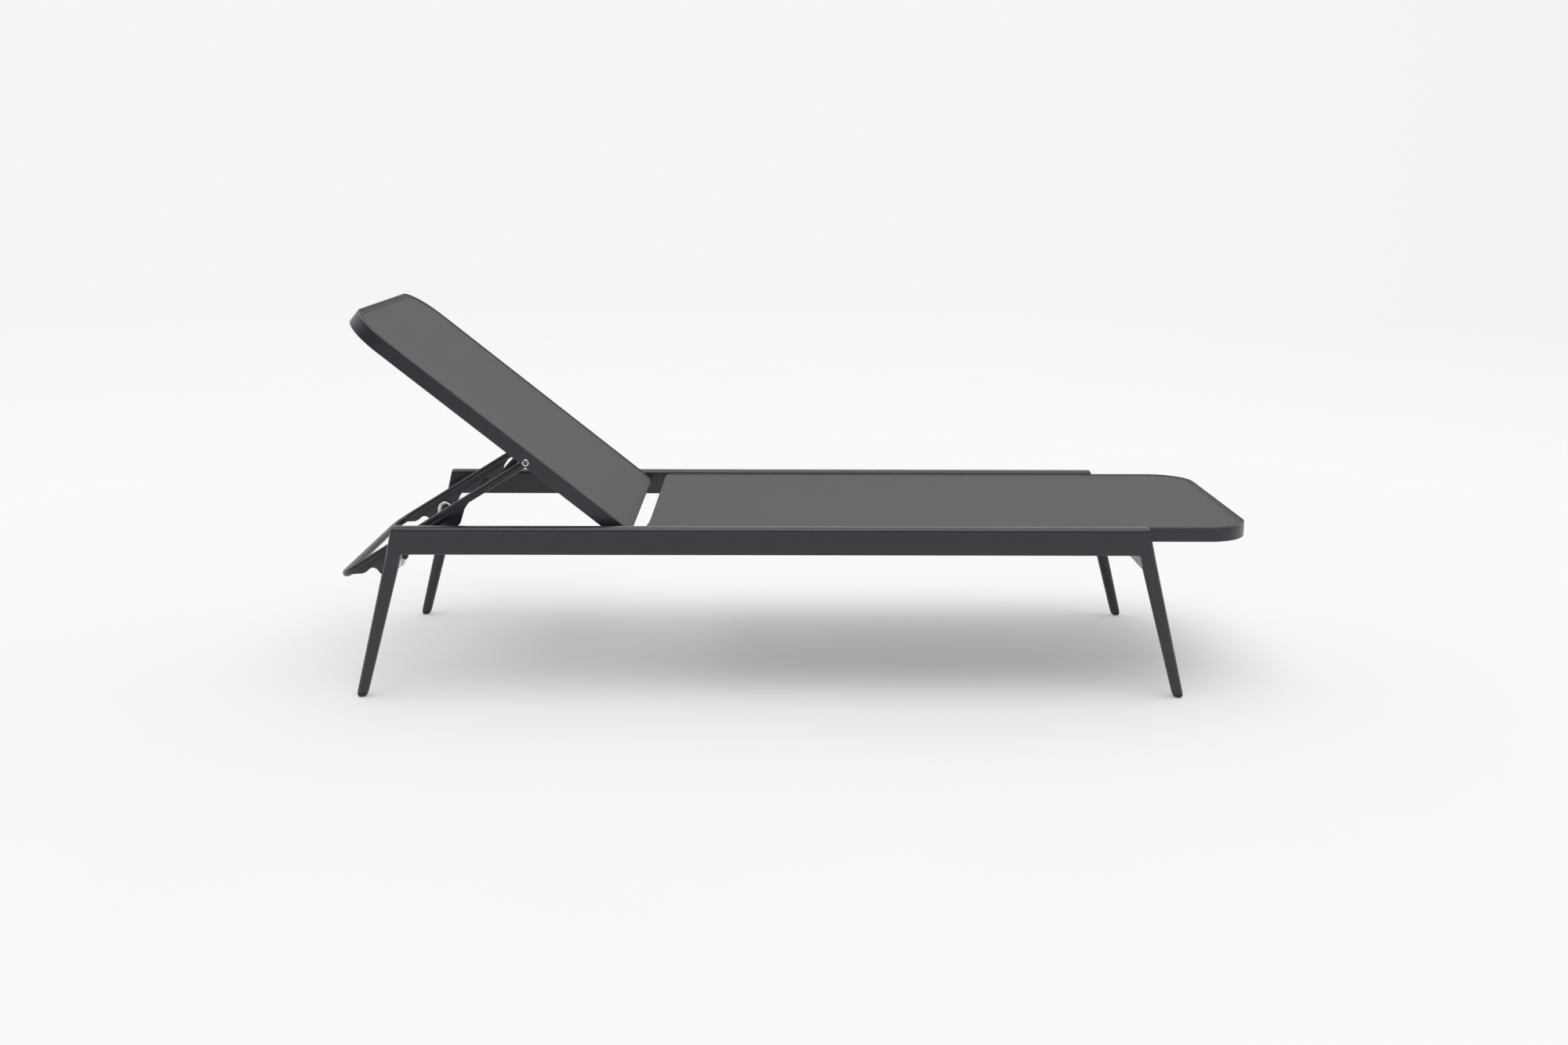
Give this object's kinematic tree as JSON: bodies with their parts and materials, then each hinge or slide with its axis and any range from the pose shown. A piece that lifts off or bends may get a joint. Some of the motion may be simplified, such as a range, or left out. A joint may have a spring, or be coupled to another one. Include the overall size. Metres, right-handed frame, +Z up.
{
  "type": "reclining sun lounger",
  "caption": "Low garden lounger with a fixed sling seat on splayed legs, a hinged sling back and a folding stand whose notched plates rest on studs.",
  "frame": {"origin": "on the floor, under the middle of the lounger's length and width with the back at its second notch", "axes": "+Z up; +X from the head end to the foot end; +Y to the left of a person lying on it"},
  "size_m": [1.8884, 0.66, 0.7913],
  "materials": {
    "powder_coat": "fine-textured anthracite powder coat, satin",
    "stainless_steel": "turned and lightly brushed",
    "sling_fabric": "grey coated-yarn mesh, matt",
    "keder_cord": "dark grey edge cord under the fabric's hem",
    "black_plastic": "moulded, matt"
  },
  "bodies": {
    "base": {"foot_cap_foot_left": "black_plastic", "foot_cap_foot_right": "black_plastic", "foot_cap_head_left": "black_plastic", "foot_cap_head_right": "black_plastic", "foot_cross_beam": "powder_coat", "leg_foot_left": "powder_coat", "leg_foot_right": "powder_coat", "leg_head_left": "powder_coat", "leg_head_right": "powder_coat", "seat_frame": "powder_coat", "seat_head_tube": "powder_coat", "seat_keder": "keder_cord", "seat_screw_foot_left": "stainless_steel", "seat_screw_foot_right": "stainless_steel", "seat_screw_head_left": "stainless_steel", "seat_screw_head_right": "stainless_steel", "seat_sling": "sling_fabric", "seat_spacer_foot_left": "black_plastic", "seat_spacer_foot_right": "black_plastic", "seat_spacer_head_left": "black_plastic", "seat_spacer_head_right": "black_plastic", "seat_spreader_1": "powder_coat", "seat_spreader_2": "powder_coat", "side_rail_left": "powder_coat", "side_rail_right": "powder_coat", "stand_stud_bolt_left": "stainless_steel", "stand_stud_bolt_right": "stainless_steel", "stand_stud_left": "stainless_steel", "stand_stud_right": "stainless_steel"},
    "hinge_bolts": {"hinge_bolt_left": "stainless_steel", "hinge_bush_left": "black_plastic", "hinge_bolt_right": "stainless_steel", "hinge_bush_right": "black_plastic"},
    "back": {"back_frame": "powder_coat", "back_keder": "keder_cord", "back_sling": "sling_fabric", "back_foot_tube": "powder_coat", "back_spreader": "powder_coat"},
    "pivot_bolts": {"pivot_screw_left": "stainless_steel", "pivot_washer_left": "black_plastic", "pivot_nut_left": "stainless_steel", "pivot_screw_right": "stainless_steel", "pivot_washer_right": "black_plastic", "pivot_nut_right": "stainless_steel"},
    "stand": {"stand_handle": "powder_coat", "stand_cross_tube": "powder_coat", "stand_bar_left": "powder_coat", "ratchet_plate_left": "powder_coat", "stand_bar_right": "powder_coat", "ratchet_plate_right": "powder_coat"}
  },
  "joints": [
    {"name": "back_lower", "type": "hinge", "parent": "base", "child": "hinge_bolts", "pos_m": [-0.35899, 0, 0.3355], "axis": [0, 1, 0], "range_deg": [-38.8, 0]},
    {"name": "back_raise", "type": "hinge", "parent": "hinge_bolts", "child": "back", "pos_m": [-0.35899, 0, 0.3355], "axis": [0, 1, 0], "range_deg": [0, 13.98]},
    {"name": "stand_fold", "type": "hinge", "parent": "back", "child": "pivot_bolts", "pos_m": [-0.54821, 0, 0.48892], "axis": [0, 1, 0], "range_deg": [-0.5, 65]},
    {"name": "stand_open", "type": "hinge", "parent": "pivot_bolts", "child": "stand", "pos_m": [-0.54821, 0, 0.48892], "axis": [0, 1, 0], "range_deg": [-16.4, 0.5]}
  ],
  "couplings": [
    {"joint": "stand_fold", "follows": "back_lower", "ratio": -1.66},
    {"joint": "stand_open", "follows": "back_raise", "ratio": -1.1342}
  ]
}
